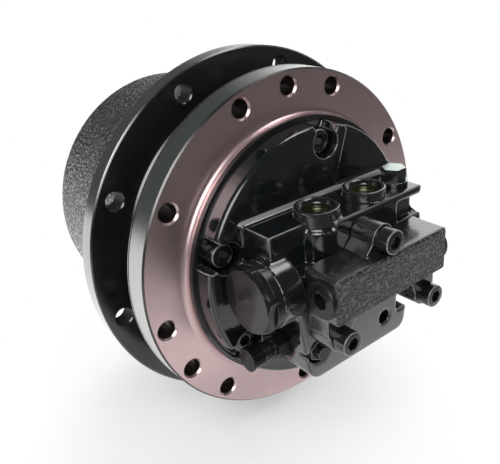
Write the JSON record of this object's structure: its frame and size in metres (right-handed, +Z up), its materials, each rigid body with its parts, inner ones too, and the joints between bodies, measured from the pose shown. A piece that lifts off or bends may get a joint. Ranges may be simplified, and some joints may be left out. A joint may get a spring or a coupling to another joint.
{
  "type": "excavator final drive",
  "caption": "Hydraulic travel motor and planetary gearbox in one unit: brown bolted frame flange, black valve casing with work ports, and a rotating hub with a sprocket flange and cast drum.",
  "frame": {"origin": "centre of the frame flange's mounting face, on the drive axis", "axes": "+Y along the drive axis from the motor towards the drum's end; +Z up, the way the work ports face"},
  "size_m": [0.27, 0.273, 0.27],
  "materials": {
    "flange_bronze_brown": "turned steel with a satin bronze-brown phosphate film",
    "gloss_black_paint": "gloss black paint over cast iron",
    "cast_black": "rough cast iron under thin black paint",
    "black_oxide": "blackened steel under paint",
    "zinc_steel": "zinc plated",
    "cap_plastic": "moulded",
    "gear_steel": "ground teeth",
    "bearing_steel": "ground",
    "spring_steel": "drawn",
    "bronze": "machined",
    "seal_rubber": "moulded"
  },
  "bodies": {
    "spindle_side": {"spindle": "flange_bronze_brown", "second_carrier": "gear_steel", "second_planet_pins": "gear_steel", "main_bearing_inner_rings": "bearing_steel", "bearing_spacer": "bearing_steel", "lock_nut": "bearing_steel", "fixed_seal_ring": "bearing_steel", "fixed_seal_o_ring": "seal_rubber", "motor_cover": "gloss_black_paint", "cover_screws": "black_oxide", "valve_block": "gloss_black_paint", "valve_block_screws": "black_oxide", "spool_caps": "black_oxide", "block_plugs": "black_oxide", "pilot_plug": "black_oxide", "drain_adapter": "zinc_steel", "drain_cap": "cap_plastic", "pilot_adapter": "black_oxide", "swash_plate": "bearing_steel", "valve_plate": "bronze", "brake_plates": "bearing_steel", "rear_shaft_bearing": "bearing_steel", "front_shaft_bearing": "bearing_steel", "shaft_seal": "seal_rubber", "brake_spring": "spring_steel", "counterbalance_springs": "spring_steel", "speed_springs": "spring_steel"},
    "hub": {"hub_drum": "cast_black", "ring_gear": "gear_steel", "end_cover": "cast_black", "snap_ring": "black_oxide", "oil_plugs": "black_oxide", "thrust_pad": "gear_steel", "main_bearing_outer_rings": "bearing_steel", "rotating_seal_ring": "bearing_steel", "rotating_seal_o_ring": "seal_rubber"},
    "roller_set": {"main_bearing_rollers": "bearing_steel"},
    "first_carrier": {"first_carrier": "gear_steel", "second_sun": "gear_steel", "first_planet_pins": "gear_steel"},
    "motor_rotor": {"motor_shaft": "gear_steel", "first_sun": "gear_steel", "cylinder_block": "bearing_steel", "pistons": "bearing_steel", "piston_shoes": "bronze", "shoe_retainer": "bearing_steel", "brake_discs": "bronze"},
    "brake_piston": {"brake_piston": "bearing_steel"},
    "counterbalance_spool": {"counterbalance_spool": "bearing_steel"},
    "speed_spool": {"speed_spool": "bearing_steel"},
    "second_planet_1": {"second_planet_1": "gear_steel"},
    "first_planet_1": {"first_planet_1": "gear_steel"},
    "second_planet_2": {"second_planet_2": "gear_steel"},
    "first_planet_2": {"first_planet_2": "gear_steel"},
    "second_planet_3": {"second_planet_3": "gear_steel"},
    "first_planet_3": {"first_planet_3": "gear_steel"}
  },
  "joints": [
    {"name": "hub_spin", "type": "hinge", "parent": "spindle_side", "child": "hub", "pos_m": [0, 0, 0], "axis": [0, 1, 0], "continuous": true},
    {"name": "roller_orbit", "type": "hinge", "parent": "spindle_side", "child": "roller_set", "pos_m": [0, 0, 0], "axis": [0, 1, 0], "continuous": true},
    {"name": "first_carrier_spin", "type": "hinge", "parent": "spindle_side", "child": "first_carrier", "pos_m": [0, 0, 0], "axis": [0, 1, 0], "continuous": true},
    {"name": "motor_spin", "type": "hinge", "parent": "spindle_side", "child": "motor_rotor", "pos_m": [0, 0, 0], "axis": [0, 1, 0], "continuous": true},
    {"name": "brake_release", "type": "slide", "parent": "spindle_side", "child": "brake_piston", "axis": [0, -1, 0], "range_m": [0, 0.0015], "stiffness_N_per_m": 20000, "deforming": ["brake_spring"]},
    {"name": "counterbalance_slide", "type": "slide", "parent": "spindle_side", "child": "counterbalance_spool", "axis": [1, 0, 0], "range_m": [-0.006, 0.006], "stiffness_N_per_m": 4000, "deforming": ["counterbalance_springs"]},
    {"name": "speed_slide", "type": "slide", "parent": "spindle_side", "child": "speed_spool", "axis": [1, 0, 0], "range_m": [-0.005, 0.005], "stiffness_N_per_m": 2500, "deforming": ["speed_springs"]},
    {"name": "second_planet_1_spin", "type": "hinge", "parent": "spindle_side", "child": "second_planet_1", "pos_m": [0.054, 0, 0], "axis": [0, 1, 0], "continuous": true},
    {"name": "first_planet_1_spin", "type": "hinge", "parent": "first_carrier", "child": "first_planet_1", "pos_m": [0.0495, 0, 0], "axis": [0, 1, 0], "continuous": true},
    {"name": "second_planet_2_spin", "type": "hinge", "parent": "spindle_side", "child": "second_planet_2", "pos_m": [-0.027, 0, -0.04677], "axis": [0, 1, 0], "continuous": true},
    {"name": "first_planet_2_spin", "type": "hinge", "parent": "first_carrier", "child": "first_planet_2", "pos_m": [-0.02475, 0, -0.04287], "axis": [0, 1, 0], "continuous": true},
    {"name": "second_planet_3_spin", "type": "hinge", "parent": "spindle_side", "child": "second_planet_3", "pos_m": [-0.027, 0, 0.04677], "axis": [0, 1, 0], "continuous": true},
    {"name": "first_planet_3_spin", "type": "hinge", "parent": "first_carrier", "child": "first_planet_3", "pos_m": [-0.02475, 0, 0.04287], "axis": [0, 1, 0], "continuous": true}
  ],
  "couplings": [
    {"joint": "roller_orbit", "follows": "hub_spin", "ratio": 0.53571},
    {"joint": "first_carrier_spin", "follows": "hub_spin", "ratio": -3},
    {"joint": "motor_spin", "follows": "hub_spin", "ratio": -21},
    {"joint": "second_planet_1_spin", "follows": "hub_spin", "ratio": 3},
    {"joint": "first_planet_1_spin", "follows": "hub_spin", "ratio": 10.286},
    {"joint": "second_planet_2_spin", "follows": "hub_spin", "ratio": 3},
    {"joint": "first_planet_2_spin", "follows": "hub_spin", "ratio": 10.286},
    {"joint": "second_planet_3_spin", "follows": "hub_spin", "ratio": 3},
    {"joint": "first_planet_3_spin", "follows": "hub_spin", "ratio": 10.286}
  ]
}
